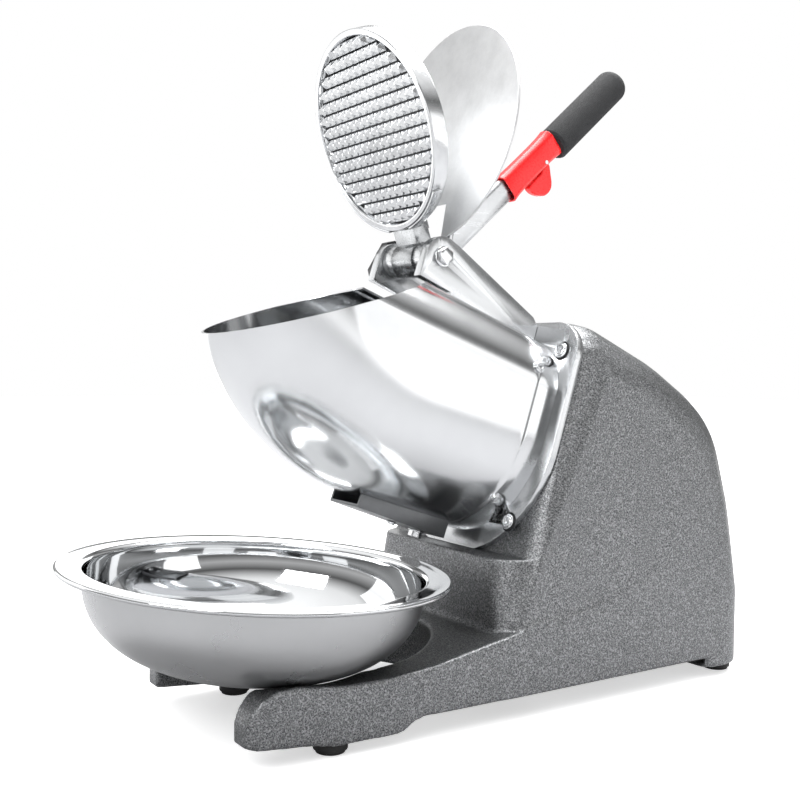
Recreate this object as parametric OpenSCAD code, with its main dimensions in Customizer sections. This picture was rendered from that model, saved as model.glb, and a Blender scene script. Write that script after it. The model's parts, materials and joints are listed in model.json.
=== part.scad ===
// Electric shaved ice machine: a cast body on four feet, a tilted drum hopper, a lever-driven
// pusher, a hinged lid, a motor-driven cutter disc and a loose bowl. Front is -Y, up is +Z.

/* [Hinge] */
// Height of the hinge axis above the table
pivot_z = 316; // [310:1:322]
// Place of the hinge axis along the machine
pivot_y = -9.5; // [-12:0.5:-7]
// Radius of the hinge shaft
shaft_r = 5; // [4:0.5:6]
// Direction of the pusher plate, measured up from the rear
pusher_angle = 109.5; // [106:0.5:112]
// Direction of the lid plate, measured up from the rear
lid_angle = 80; // [76:0.5:82]
// Direction of the lever, measured up from the rear
lever_angle = 41.7; // [38:0.1:46]

/* [Hopper] */
// Direction of the drum's cross section, measured up from the rear
drum_angle = 252; // [250:0.5:254]
// Direction of the mouth's plane
mouth_angle = 195.5; // [194:0.5:197]
// Half width of the hopper
hopper_half = 73; // [72:0.5:75]
// Distance from the hinge axis to the middle of the drum's round bottom
drum_centre = 102.5; // [100:0.5:104]
// Distance from the hinge axis to the roof, level with the hinge axis
drum_top = 24.5; // [24:0.5:27]
// Fall of the roof towards the front plate
roof_tilt = 3; // [2:0.5:4]
// Wall of the hopper
hopper_wall = 1.5; // [1:0.5:2]
// Distance from the hinge axis to the face of the front plate
plate_u = 97; // [95:0.5:99]
// Thickness of the front plate
plate_t = 5.5; // [5:0.5:7]

/* [Pusher and lid] */
// Radius of the pusher plate
pusher_r = 70.2; // [68:0.1:70.4]
// Distance from the hinge axis to the pusher's centre
pusher_reach = 94; // [92:0.5:95]
// Radius of the lid
lid_r = 81; // [78:0.5:82]
// Distance from the hinge axis to the lid's centre
lid_reach = 95.5; // [94:0.5:97]
// Height of the lid plate behind the hinge axis
lid_offset = -8; // [-9:0.5:-7]

/* [Lever] */
// Length of the lever from the hinge axis to the end of the grip
lever_length = 250; // [240:1:260]
// Width of the lever bar
bar_width = 18; // [16:0.5:20]
// Thickness of the lever bar
bar_thick = 8; // [6:0.5:9]
// Distance of the bar's middle below the hinge axis
bar_drop = 10; // [9:0.5:11]
// Diameter of the foam grip
grip_d = 26; // [24:1:28]

/* [Body] */
// Half width of the body casting
body_half = 90; // [88:1:92]
// Front end of the two arms
tip_y = -179.5; // [-182:0.5:-176]
// Rear end of the body
rear_y = 260; // [257:0.5:264]
// Wall of the casting
body_wall = 5; // [4:0.5:6]
// Height of the rubber feet
foot_h = 8; // [7:0.5:9]

/* [Bowl] */
// Radius of the bowl's rim
bowl_r = 130; // [125:1:133]
// Depth of the bowl
bowl_depth = 69; // [66:0.5:70]
// Height of the middle of the bowl's rim
bowl_z = 104.6; // [104:0.1:106]
// Place of the bowl along the machine
bowl_y = -133.5; // [-136:0.5:-133]
// Sheet thickness of the bowl
bowl_wall = 1.2; // [1:0.1:1.5]

/* [Hidden] */
$fn = 64;

steel = "#c9cbcd";
bright = "#dfe1e3";
hammertone = "#8b8d90";
rubber = "#1b1b1c";
red = "#e0201c";
eps = 0.01;

drum_corner = 42;          // rounding of the drum's upper corners
swing_centre = 92;         // from the front curve's own axis to the middle of the round bottom
swing_u = 3.4;             // the front curve's axis lies this far behind the hinge axis
slot_half = 38;            // half width of the slot in the roof
outlet_half = 16;          // half width of the slot that drops ice on the tray
mouth_drop = 12.5;         // the mouth's plane passes this far below the hinge axis
corner_ease = 0.4;         // the roof's rounded corners meet the sides at a slight angle
swing_slot_u = 14;         // the roof starts here, behind the closed pusher
shaft_s = drum_centre;     // motor axis, measured from the hinge axis across the drum
cheek_in = 26;             // inner face of each hinge cheek
cheek_t = 8;
cheek_foot = 4.5;          // thickness of the foot that holds a cheek to the roof
hub_half = 12.5;
hub_r = 13;
knuckle_r = 12;
cutter_u = 18;
cutter_r = 66;
body_u = plate_u + plate_t;
motor_r = 52;
flank_sink = 2.4;          // depth of the flank's panel at its front
crease_foot = [19, 66];    // y and z where the front crease meets the arm
crease_angle = 65;         // slope of the front crease
chamfer_angle = 12.4;      // how sharply the cheeks lead in to the front plate
motor_u = body_u + 16;
motor_len = 92;
pusher_back = -4;
pusher_face = 5;
tooth_h = 3.5;
tooth_pitch = 8.6;
sleeve_from = 99;
sleeve_to = 160;
trigger_y = 142;
trigger_z = -bar_drop - 6.4;
belly_z = 16;
snug = 0.05;               // clearance round a part that is seated in another

// A frame on the hinge axis: y runs out from the axis, z square to it, x along the hinge.
module radial(angle) {
    translate([0, pivot_y, pivot_z]) rotate([angle, 0, 0]) children();
}

// The drum's frame: y across the drum away from the hinge, z along the drum to the rear.
module drum(u = 0) {
    radial(drum_angle) translate([0, 0, u]) children();
}

// Repeats its children mirrored to the other side.
module both_sides() {
    children();
    mirror([1, 0, 0]) children();
}

module ring(outer, inner, length) {
    difference() {
        cylinder(r = outer, h = length);
        translate([0, 0, -1]) cylinder(r = inner, h = length + 2);
    }
}

module rounded_square(w, h, r) {
    translate([-w / 2 + r, -h / 2]) square([w - 2 * r, h]);
    translate([-w / 2, -h / 2 + r]) square([w, h - 2 * r]);
    for (x = [-1, 1], y = [-1, 1]) {
        translate([x * (w / 2 - r), y * (h / 2 - r)]) circle(r = r, $fn = 32);
    }
}

// A round-headed screw with a socket: head above z = 0, shank below.
module screw(head_r, head_h, shank_r, length) {
    difference() {
        union() {
            cylinder(r = head_r, h = head_h * 0.6);
            cylinder(r = head_r * 0.78, h = head_h);
            translate([0, 0, -length]) cylinder(r = shank_r, h = length + eps);
        }
        translate([0, 0, head_h * 0.45]) cylinder(r = head_r * 0.45, h = head_h, $fn = 6);
    }
}

module hex_bolt(flat_r, head_h, shank_r, length) {
    cylinder(r = flat_r * 1.35, h = 1, $fn = 32);
    translate([0, 0, 1 - eps]) cylinder(r = flat_r * 1.15, h = head_h, $fn = 6);
    translate([0, 0, -length]) cylinder(r = shank_r, h = length + eps);
}

// ---- Hopper --------------------------------------------------------------------------------

// The drum's section: a half circle with straight sides that run up past the roof.
module drum_section(inset) {
    half = hopper_half - inset;
    translate([0, drum_centre]) circle(r = half, $fn = 128);
    translate([-half, -20]) square([2 * half, drum_centre + 20]);
}

// The same section for the front curve: x runs out from the curve's own centre.
module swing_section(inset) {
    half = hopper_half - inset;
    translate([swing_centre, 0]) circle(r = half, $fn = 128);
    translate([0, -half]) square([swing_centre, 2 * half]);
}

// A prism with two rounded upper corners that follows the tilted roof.
module roof_prism(inset) {
    half = hopper_half - inset + corner_ease;
    corner = drum_corner - inset;
    drum() translate([0, drum_top + inset, 0]) rotate([-roof_tilt, 0, 0])
        translate([0, 0, -240]) linear_extrude(400) {
            translate([-half, corner]) square([2 * half, 260]);
            translate([-half + corner, 0]) square([2 * (half - corner), corner + 1]);
            for (side = [-1, 1]) translate([side * (half - corner), corner]) circle(r = corner);
        }
}

// The straight part of the drum as a filled body.
module drum_volume(inset, near_u, far_u) {
    intersection() {
        drum(near_u) linear_extrude(far_u - near_u) drum_section(inset);
        roof_prism(inset);
    }
}

// The hopper as a filled body, cut off along the mouth's plane.
module hopper_volume(inset, drop, far_u) {
    intersection() {
        union() {
            drum(swing_u) translate([0, drum_centre - swing_centre, 0]) rotate([90, 180, 0])
                rotate([0, 90, 0]) rotate_extrude(angle = drum_angle - mouth_angle + 20,
                    $fn = 180) swing_section(inset);
            drum(swing_u) linear_extrude(far_u - swing_u) drum_section(inset);
        }
        roof_prism(inset);
        radial(mouth_angle) translate([-200, -400, drop]) cube([400, 800, 400]);
    }
}

module outlet_cut() {
    drum(12) translate([-outlet_half, drum_centre + hopper_half - 12, 0])
        cube([2 * outlet_half, 20, 24]);
}

module hopper() {
    color(steel) difference() {
        hopper_volume(0, mouth_drop, plate_u - snug);
        hopper_volume(hopper_wall, mouth_drop - 12, plate_u + 1);
        drum(-120) translate([-slot_half, drum_top - 30, 0])
            cube([2 * slot_half, 40, 120 + swing_slot_u]);
        outlet_cut();
        hopper_screw_places() translate([0, 0, -20]) cylinder(r = 2.1, h = 30);
        cheek_screw_places() translate([0, 0, -20]) cylinder(r = 2.1, h = 30);
        tray_bolt_place(41) cylinder(r = 2.1, h = 60, center = true);
        tray_bolt_place(64) cylinder(r = 3.1, h = 60, center = true);
    }
}

// Fixings through the hopper's wall into the ring, two on each side.
module hopper_screw_places() {
    both_sides() {
        drum(plate_u - 19) translate([hopper_half + corner_ease - drum_corner,
            drum_top + drum_corner + 4, 0]) rotate([0, 0, -22]) translate([drum_corner, 0, 0]) rotate([0, 90, 0]) children();
        drum(plate_u - 15) translate([0, drum_centre, 0]) rotate([0, 0, 40])
            translate([hopper_half, 0, 0]) rotate([0, 90, 0]) children();
    }
}

module hopper_screws() {
    color(bright) hopper_screw_places() translate([0, 0, 0.1]) screw(4.2, 2.4, 2, 9);
}

// The ring that stiffens the drum and holds it to the front plate.
module drum_ring() {
    color(steel) difference() {
        drum_volume(hopper_wall + snug, plate_u - 24, plate_u - snug);
        drum_volume(hopper_wall + 4, plate_u - 25, plate_u + 1);
        hopper_screw_places() translate([0, 0, -20]) cylinder(r = 2.05, h = 30);
        cheek_screw_places() translate([0, 0, -20]) cylinder(r = 2.1, h = 30);
    }
}

module plate_outline() {
    intersection() {
        union() {
            translate([0, 108]) circle(r = 84, $fn = 160);
            translate([-84, 42]) square([168, 66]);
            translate([-56, 14]) square([112, 30]);
            for (side = [-1, 1]) translate([side * 56, 42]) circle(r = 28);
        }
        translate([-100, 0]) square([200, 187]);
    }
}

module plate_screw_places() {
    both_sides() {
        drum(plate_u) translate([68, 36, 0]) children();
        drum(plate_u) translate([59, 163, 0]) children();
    }
}

module motor_screw_places() {
    for (a = [45:90:315]) drum(plate_u) translate([0, shaft_s, 0]) rotate([0, 0, a])
        translate([0, 40, 0]) children();
}

module front_plate() {
    color(steel) difference() {
        drum(plate_u) linear_extrude(plate_t) plate_outline();
        drum(plate_u - 1) translate([0, shaft_s, 0]) cylinder(r = 12, h = plate_t + 2);
        plate_screw_places() cylinder(r = 3.1, h = 30, center = true);
        motor_screw_places() cylinder(r = 2.6, h = 30, center = true);
    }
}

module plate_screws() {
    color(bright) plate_screw_places() mirror([0, 0, 1]) translate([0, 0, 0.1])
        screw(5.6, 3, 3, 24);
}

// ---- Outlet tray ---------------------------------------------------------------------------

tray_half = 19;
tray_length = 78;
tray_tilt = 2.5;           // fall of the tray against the drum
tray_depth = 13;           // height of the tray's side walls before they meet the drum

// The tray's frame lies on its floor: y points down from the drum, z runs to the rear.
module tray_frame() {
    drum() translate([0, drum_centre + hopper_half + 5, 0]) rotate([-tray_tilt, 0, 0])
        children();
}

module tray_bolt_place(u) {
    tray_frame() translate([0, 0, u]) rotate([-90, 0, 0]) children();
}

// A shallow channel close under the drum; ice leaves at its open front end.
module outlet_tray() {
    color("#3a3b3d") difference() {
        tray_frame() {
            translate([-tray_half, 0, -2]) cube([2 * tray_half, 2, tray_length]);
            for (side = [-1, 1]) translate([side * (tray_half - 1) - 1, -tray_depth, -2])
                cube([2, tray_depth + 1, tray_length]);
            translate([-tray_half, -tray_depth, tray_length - 4])
                cube([2 * tray_half, tray_depth + 1, 2]);
        }
        drum(-10) translate([0, drum_centre, 0]) cylinder(r = hopper_half + snug, h = plate_u,
            $fn = 128);
        tray_bolt_place(41) cylinder(r = 2.1, h = 60, center = true);
        tray_bolt_place(64) cylinder(r = 3.1, h = 60, center = true);
    }
}

module tray_fasteners() {
    color(bright) {
        tray_bolt_place(41) translate([0, 0, 2.1]) screw(3.4, 2.4, 2, 14);
        tray_bolt_place(64) translate([0, 0, 2.1]) hex_bolt(4.4, 4.2, 3, 16);
    }
}

// ---- Hinge ---------------------------------------------------------------------------------

module cheek_screw_places() {
    for (side = [-1, 1], u = [34, 70]) drum() translate([side * (cheek_in - 6), drum_top, 0])
        rotate([-roof_tilt, 0, 0]) translate([0, 0, u]) rotate([90, 0, 0]) children();
}

// A flat cheek that stands on the roof and carries the shaft, with a foot turned inwards.
module placed_cheek() {
    difference() {
        drum() translate([cheek_in, 0, 0]) {
            rotate([0, 90, 0]) cylinder(r = 14, h = cheek_t);
            rotate([90, 0, 90]) linear_extrude(cheek_t) polygon([[-11.5, -8], [-14, 0],
                [-12, 10], [12, plate_u - 6], [17, plate_u - 0.3], [60, plate_u - 0.3],
                [60, 18], [21, 14], [19, -14], [0, -14]]);
            translate([-12, drum_top, 0]) rotate([-roof_tilt, 0, 0])
                translate([0, -cheek_foot, 24]) cube([13, 30, plate_u - 40]);
        }
        drum() translate([-100, drum_top - snug, 0]) rotate([-roof_tilt, 0, 0])
            translate([0, 0, 10]) cube([200, 100, 200]);
        radial(0) rotate([0, 90, 0]) cylinder(r = shaft_r + snug, h = 120, center = true);
    }
}

module hinge_cheek_right() {
    color(steel) difference() {
        placed_cheek();
        cheek_screw_places() cylinder(r = 2.1, h = 30, center = true);
    }
}

module hinge_cheek_left() {
    color(steel) difference() {
        mirror([1, 0, 0]) placed_cheek();
        cheek_screw_places() cylinder(r = 2.1, h = 30, center = true);
    }
}

module cheek_screws() {
    color(bright) cheek_screw_places() translate([0, 0, cheek_foot + 0.1]) screw(3.6, 2.2, 2, 11);
}

module hinge_shaft() {
    color(bright) radial(0) {
        rotate([0, 90, 0]) cylinder(r = shaft_r, h = 2 * (cheek_in + cheek_t) + 6, center = true);
        translate([cheek_in + cheek_t + 0.1, 0, 0]) rotate([0, 90, 0])
            hex_bolt(5.4, 3.4, shaft_r, 5);
    }
}

module shaft_nut() {
    color(bright) radial(0) translate([-cheek_in - cheek_t - 0.1, 0, 0]) rotate([0, -90, 0])
        difference() {
            union() {
                cylinder(r = 8, h = 1, $fn = 32);
                cylinder(r = 7.5, h = 4.4, $fn = 6);
            }
            translate([0, 0, -1]) cylinder(r = shaft_r + snug, h = 8);
        }
}

// Plain bushes that carry the hub on the shaft.
module hinge_bushes() {
    color("#b08d57") radial(0) both_sides() translate([1, 0, 0]) rotate([0, 90, 0])
        ring(shaft_r + 2.5, shaft_r + snug, hub_half - 1);
}

// ---- Pusher --------------------------------------------------------------------------------

module pusher_hub() {
    color(steel) difference() {
        union() {
            radial(0) rotate([0, 90, 0]) cylinder(r = hub_r, h = 2 * hub_half, center = true);
            radial(pusher_angle) translate([-hub_half, 9, -9]) cube([2 * hub_half, 14, 13]);
            radial(pusher_angle) translate([-hub_half, 20, pusher_back - 6])
                cube([2 * hub_half, 46, 6 - snug]);
            radial(lever_angle) translate([-8, 4, -bar_drop - bar_width / 2 - 1])
                cube([16, 24, bar_width + 2]);
        }
        radial(0) rotate([0, 90, 0]) cylinder(r = shaft_r + 2.5 + snug, h = 60, center = true);
        radial(pusher_angle) translate([0, pusher_reach, pusher_back])
            cylinder(r = pusher_r + snug, h = 30, $fn = 128);
        lever_blank(snug);
        pusher_screw_places() translate([0, 0, -1]) cylinder(r = 2.55, h = 30);
    }
}

module pusher_screw_places() {
    for (y = [38, 58]) radial(pusher_angle) translate([0, y, pusher_back - 6])
        mirror([0, 0, 1]) translate([0, 0, -10]) children();
}

module pusher_screws() {
    color(bright) pusher_screw_places() translate([0, 0, 10.1]) screw(4.6, 2.6, 2.5, 11);
}

// The cast plate with a smooth rim and rows of pyramid teeth.
module pusher_plate() {
    color(steel) difference() {
        radial(pusher_angle) translate([0, pusher_reach, 0]) {
            translate([0, 0, pusher_back]) cylinder(r = pusher_r, h = pusher_face - pusher_back,
                $fn = 128);
            difference() {
                translate([0, 0, pusher_face - eps]) cylinder(r = pusher_r, h = 3, $fn = 128);
                translate([0, 0, pusher_face - 1]) cylinder(r = pusher_r - 4.5, h = 5, $fn = 128);
            }
            pusher_teeth();
        }
        pusher_screw_places() translate([0, 0, -1]) cylinder(r = 2.55, h = 13);
    }
}

module pusher_teeth() {
    rows = floor((pusher_r - 5) / tooth_pitch);
    for (i = [-rows:rows], j = [-rows:rows]) {
        if (norm([i, j]) * tooth_pitch < pusher_r - 5 - tooth_pitch * 0.5) {
            translate([i * tooth_pitch, j * tooth_pitch, pusher_face - eps]) rotate([0, 0, 45])
                cylinder(r1 = tooth_pitch * 0.68, r2 = 0.9, h = tooth_h, $fn = 4);
        }
    }
}

// A band riveted round the rim on the hinge side, where the plate meets its neck.
module pusher_clip() {
    color(steel) difference() {
        radial(pusher_angle) translate([0, pusher_reach, 0.5]) rotate([0, 0, 180 + 43])
            rotate_extrude(angle = 94, $fn = 128) translate([pusher_r + snug, 0])
                square([1.8, 7]);
        radial(pusher_angle) translate([-hub_half - snug, 0, -20])
            cube([2 * (hub_half + snug), 60, 40]);
    }
}

// ---- Lever ---------------------------------------------------------------------------------

module lever_blank(grow) {
    radial(lever_angle) translate([0, 14 - grow, -bar_drop]) rotate([-90, 0, 0])
        linear_extrude(lever_length - 20 - 14 + 2 * grow)
            rounded_square(bar_thick + 2 * grow, bar_width + 2 * grow, 3.2);
}

module lever_bar() {
    color(steel) difference() {
        lever_blank(0);
        radial(0) rotate([0, 90, 0]) cylinder(r = shaft_r + 2.5 + snug, h = 60, center = true);
        trigger_pocket();
    }
}

// The hollow over the trigger that holds its boss and springs.
module trigger_pocket() {
    radial(lever_angle) translate([-4.9, trigger_y - 31, trigger_z - 2.8]) cube([9.8, 37, 6.6]);
    radial(lever_angle) translate([-3.4, trigger_y - 31, trigger_z - 8]) cube([6.8, 37, 11.8]);
}

module trigger_pin_hole() {
    radial(lever_angle) translate([0, trigger_y, trigger_z]) rotate([0, 90, 0])
        cylinder(r = 1.5 + snug, h = 14 + 2 * snug, center = true);
}

module handle_sleeve() {
    color(red) difference() {
        radial(lever_angle) translate([0, sleeve_from, -bar_drop]) rotate([-90, 0, 0])
            linear_extrude(sleeve_to - sleeve_from) rounded_square(15, 22.5, 6);
        lever_blank(snug);
        trigger_pocket();
        trigger_pin_hole();
    }
}

module foam_grip() {
    core = lever_length - sleeve_to - grip_d / 2;
    color(rubber) difference() {
        radial(lever_angle) translate([0, sleeve_to + snug, -bar_drop - 2.5]) {
            rotate([-90, 0, 0]) cylinder(r = grip_d / 2, h = core + 4);
            translate([0, core + 4, 0]) rotate([-90, 0, 0]) rotate_extrude()
                polygon(concat([[0, 0]], [for (a = [0:7.5:90])
                    [grip_d / 2 - 9 * (1 - cos(a)), 9 * sin(a) - eps]], [[0, 9 - eps]]));
        }
        lever_blank(snug);
    }
}

// The finger tab under the sleeve: it turns on its pin against the spring.
module trigger() {
    color(red) difference() {
        radial(lever_angle) translate([0, trigger_y, trigger_z]) {
            rotate([0, 90, 0]) cylinder(r = 3.4, h = 6, center = true);
            rotate([90, 0, 90]) translate([0, 0, -3]) linear_extrude(6) polygon([[3.2, -1],
                [3.5, -6.2], [2.5, -11.2], [-3, -19.2], [-7, -20.7], [-12, -20.2],
                [-20, -15.2], [-27, -8.7], [-28.5, -5.4], [-8, -5.4], [-3.2, -1]]);
        }
        trigger_pin_hole();
    }
}

module trigger_pin() {
    color(bright) radial(lever_angle) translate([0, trigger_y, trigger_z]) rotate([0, 90, 0])
        cylinder(r = 1.5, h = 14, center = true);
}

// A torsion spring wound round the pin on both sides of the trigger.
module trigger_spring() {
    color(bright) radial(lever_angle) translate([0, trigger_y, trigger_z]) rotate([0, 90, 0])
        for (x = [-4.5, -3.7, 3.7, 4.5]) translate([0, 0, x]) rotate_extrude($fn = 32)
            translate([2.2, 0]) circle(r = 0.38, $fn = 16);
}

// ---- Lid -----------------------------------------------------------------------------------

module lid_plate() {
    color(bright) difference() {
        radial(lid_angle) translate([0, lid_reach, lid_offset - 2])
            cylinder(r = lid_r, h = 2, $fn = 160);
        radial(lid_angle) translate([-15, 0, lid_offset - 3]) cube([30, 42, 4]);
    }
}

// Two knuckles that turn on the shaft either side of the hub, welded to the lid by straps.
module lid_hinge() {
    color(steel) difference() {
        union() {
            radial(0) both_sides() translate([hub_half + 1, 0, 0]) rotate([0, 90, 0])
                cylinder(r = knuckle_r, h = cheek_in - hub_half - 2);
            both_sides() radial(lid_angle) translate([hub_half + 2, 0, lid_offset - 5])
                cube([9, 26, 3 - snug]);
            both_sides() radial(lid_angle) translate([hub_half + 2, 0, lid_offset - 5])
                cube([9, 12, 8]);
        }
        radial(0) rotate([0, 90, 0]) cylinder(r = shaft_r + snug, h = 80, center = true);
    }
}

// A chamfered plastic cap over the shaft's nut.
module nut_cap() {
    color(rubber) difference() {
        radial(59) translate([-cheek_in - cheek_t - 0.1, 0, 0]) rotate([0, -90, 0])
            difference() {
                hull() {
                    cap_outline(8);
                    cap_outline(6.5, 2);
                }
                translate([0, 0, -1]) cylinder(r = 8.6, h = 7.2);
            }
        radial(0) rotate([0, 90, 0]) cylinder(r = shaft_r + snug, h = 2 * 39.5, center = true);
    }
}

// An oblong with cut corners, h thick and drawn in by the given margin.
module cap_outline(h, margin = 0) {
    long = 17 - margin;
    wide = 10 - margin;
    linear_extrude(h) polygon([[0 - wide + 5, -long], [wide - 5, -long], [wide, -long + 5],
        [wide, long - 5], [wide - 5, long], [-wide + 5, long], [-wide, long - 5],
        [-wide, -long + 5]]);
}

// ---- Cutter and motor ----------------------------------------------------------------------

module on_motor(u) {
    drum(u) translate([0, shaft_s, 0]) children();
}

// The cutter disc has two open throats behind its blades and two vanes that throw the ice.
module cutter_disc() {
    color(steel) on_motor(cutter_u) difference() {
        union() {
            cylinder(r = cutter_r, h = 5, $fn = 128);
            cylinder(r = 14, h = 16);
            for (a = [0, 180]) rotate([0, 0, a + 90]) translate([12, -2, 4]) cube([46, 4, 12]);
        }
        translate([0, 0, -1]) cylinder(r = 8 + snug, h = 30);
        for (a = [0, 180]) rotate([0, 0, a]) translate([18, -9, -1]) cube([44, 8, 7]);
        blade_screw_holes();
    }
}

module blade_screw_holes() {
    for (a = [0, 180], x = [28, 50]) rotate([0, 0, a]) translate([x, 8, -10])
        cylinder(r = 2.05, h = 30);
}

module cutter_blades() {
    color(bright) on_motor(cutter_u) difference() {
        for (a = [0, 180]) rotate([0, 0, a]) translate([18, 0, -snug]) rotate([90, 0, 90])
            linear_extrude(44) polygon([[-2, -3], [15, -3], [15, 0], [2, 0]]);
        blade_screw_holes();
    }
}

module blade_screws() {
    color(bright) on_motor(cutter_u) for (a = [0, 180], x = [28, 50]) rotate([0, 0, a])
        translate([x, 8, -3.1]) mirror([0, 0, 1]) screw(3.6, 2, 2, 7);
}

module motor_shaft() {
    color(bright) on_motor(cutter_u - 2) difference() {
        union() {
            cylinder(r = 8, h = motor_u + motor_len + 12 - cutter_u);
            translate([0, 0, -4]) cylinder(r = 11, h = 4, $fn = 6);
            translate([0, 0, -4]) cylinder(r = 5, h = 6);
        }
        translate([0, 0, motor_u + motor_len + 4 - cutter_u]) cylinder(r = 1.5, h = 30);
    }
}

module rotor_core() {
    color("#7c6a55") on_motor(motor_u + 22) difference() {
        union() {
            cylinder(r = 30, h = 46);
            translate([0, 0, -8]) cylinder(r = 22, h = 62);
        }
        translate([0, 0, -20]) cylinder(r = 8 + snug, h = 90);
    }
}

module cooling_fan() {
    color("#303133") on_motor(motor_u + 79) difference() {
        union() {
            cylinder(r = 13, h = 9);
            for (a = [0:45:315]) rotate([0, 0, a]) translate([10, -1, 0]) cube([28, 2, 9]);
        }
        translate([0, 0, -1]) cylinder(r = 8 + snug, h = 20);
    }
}

module shaft_seal() {
    color(rubber) on_motor(plate_u + 0.5) ring(12 - snug, 8 + snug, 6);
}

module bearing_front() {
    color(bright) on_motor(motor_u + 1) ring(17, 8 + snug, 10);
}

module bearing_rear() {
    color(bright) on_motor(motor_u + motor_len + 1) ring(15, 8 + snug, 8);
}

// The motor's front shell, bolted through the casting to the front plate.
module motor_housing() {
    color("#55585c") difference() {
        union() {
            on_motor(motor_u - 4) cylinder(r = motor_r, h = motor_len - 4);
            on_motor(body_u + body_wall + snug) cylinder(r = 24, h = 10);
            motor_screw_places() translate([0, 0, plate_t + body_wall + 0.1])
                cylinder(r = 7, h = 10);
        }
        on_motor(motor_u + 11) cylinder(r = motor_r - 3, h = motor_len);
        on_motor(motor_u + 1) cylinder(r = 17 + snug, h = 12);
        on_motor(0) cylinder(r = 9, h = 300);
        motor_screw_places() translate([0, 0, plate_t]) cylinder(r = 2.55, h = 19);
    }
}

module stator() {
    color("#8a5a2b") on_motor(motor_u + 20) ring(motor_r - 3 - snug, 31.2, 50);
}

module motor_end_bell() {
    color("#55585c") on_motor(motor_u + motor_len - 8 + 0.1) difference() {
        union() {
            cylinder(r = motor_r, h = 10);
            cylinder(r = 22, h = 20);
        }
        translate([0, 0, -1]) cylinder(r = motor_r - 3, h = 6);
        translate([0, 0, 9 - 0.1]) cylinder(r = 15 + snug, h = 20);
        translate([0, 0, -1]) cylinder(r = 9, h = 40);
        for (a = [0:30:330]) rotate([0, 0, a]) translate([33, 0, -1]) cylinder(r = 5, h = 30);
    }
}

module motor_screws() {
    color(bright) motor_screw_places() mirror([0, 0, 1]) translate([0, 0, 0.1])
        screw(4.6, 2.6, 2.5, 23);
}

module capacitor() {
    color("#dcdcd6") translate([-42, 178, belly_z + 16]) rotate([0, 90, 0]) {
        cylinder(r = 14, h = 52);
        translate([0, 0, 51]) cylinder(r = 10, h = 5);
    }
}

// ---- Body ----------------------------------------------------------------------------------

// A roller across the body with softened ends.
module soft_roller(y, z, r, half, edge) {
    translate([0, y, z]) rotate([0, 90, 0]) for (a = [0:22.5:90]) {
        cylinder(r = r - edge * (1 - sin(a)), h = 2 * (half - edge * (1 - cos(a))),
            center = true, $fn = 72);
    }
}

// The motor hump, less an even wall when shrunk.
module hump_shape(shrink) {
    corner = 34 - shrink;
    hull() {
        soft_roller(88, 228, 44 - shrink, body_half - 5 - shrink, 30 - shrink);
        soft_roller(84, 94, 168 - shrink, body_half - shrink, corner);
        soft_roller(149, 146, 90 - shrink, body_half - shrink, corner);
        for (side = [-1, 1]) {
            translate([side * (body_half - 34), rear_y - 34, -10])
                cylinder(r = corner, h = 75, $fn = 72);
            translate([side * (body_half - 14), 40, -10])
                cylinder(r = 14 - shrink, h = 75, $fn = 48);
        }
    }
}

// A prism square to the front plate that softens the hump's two front edges.
module bezel_prism() {
    drum(body_u + snug) translate([0, 60, 0]) rotate([-90, 0, 0])
        translate([0, 0, -200]) linear_extrude(500) mirror([0, 1])
            translate([0, 200]) rounded_square(2 * body_half, 400, 14);
}

module arm_profile() {
    polygon([[tip_y, 14.5], [tip_y, 28], [tip_y + 3, 36], [tip_y + 9, 43], [tip_y + 18, 47.5],
        [tip_y + 32, 48.5], [-115, 44.5], [-82, 44.5], [-48, 48], [-14, 54.5], [18, 60.5],
        [42, 64], [61, 64], [80, 66.5], [105, 72], [136, 83], [157, 94], [179, 111],
        [195, 130], [207, 160], [207, belly_z], [-57, belly_z], [-65, 14], [-74, foot_h + 0.5],
        [-86, foot_h], [-122, foot_h], [-140, foot_h + 3]]);
}

module arm_plan() {
    corner = 9;
    difference() {
        union() {
            polygon([[-84, tip_y + corner], [84, tip_y + corner], [88, -60], [body_half, 20],
                [body_half, 230], [-body_half, 230], [-body_half, 20], [-88, -60]]);
            for (side = [-1, 1]) translate([side * (84 - corner), tip_y + corner])
                circle(r = corner);
            translate([-75, tip_y]) square([150, 30]);
        }
        translate([0, -68]) circle(r = 62, $fn = 96);
        translate([-62, tip_y - 2]) square([124, -tip_y - 66]);
    }
}

module bowl_seat() {
    bowl_frame() rotate_extrude($fn = 120) polygon(concat([[0, 0]], bowl_curve(0.6)));
}

// The block below the front plate that joins the arms to the hump.
module nose() {
    hull() {
        translate([0, 38, 40]) linear_extrude(20) rounded_square(2 * body_half - 6, 60, 20);
        translate([0, 42, 104]) linear_extrude(4) rounded_square(2 * body_half - 10, 60, 26);
    }
}

// Shallow panels in the hump's flanks, above the crease that runs back from the arms.
module flank_cut() {
    both_sides() translate([body_half - flank_sink, 20, 0]) rotate([0, 0, -0.9])
        rotate([90, 0, 90]) linear_extrude(40) polygon([[-30, 63], [22, 63], [41, 63],
            [60, 65.5], [85, 71], [116, 82], [137, 93], [159, 110], [175, 129], [187, 159],
            [196, 200], [196, 320], [-30, 320]]);
}

// Cheeks that lead from the flanks in to the front plate, behind one straight crease a side.
module front_chamfer(inset) {
    both_sides() translate([body_half - flank_sink - inset, crease_foot[0], crease_foot[1]])
        rotate([crease_angle, 0, 0]) rotate([0, -chamfer_angle, 0])
            translate([0, 0, -20]) cube([60, 300, 220]);
}

module body_solid() {
    difference() {
        uncut_body();
        front_chamfer(0);
    }
}

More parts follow.
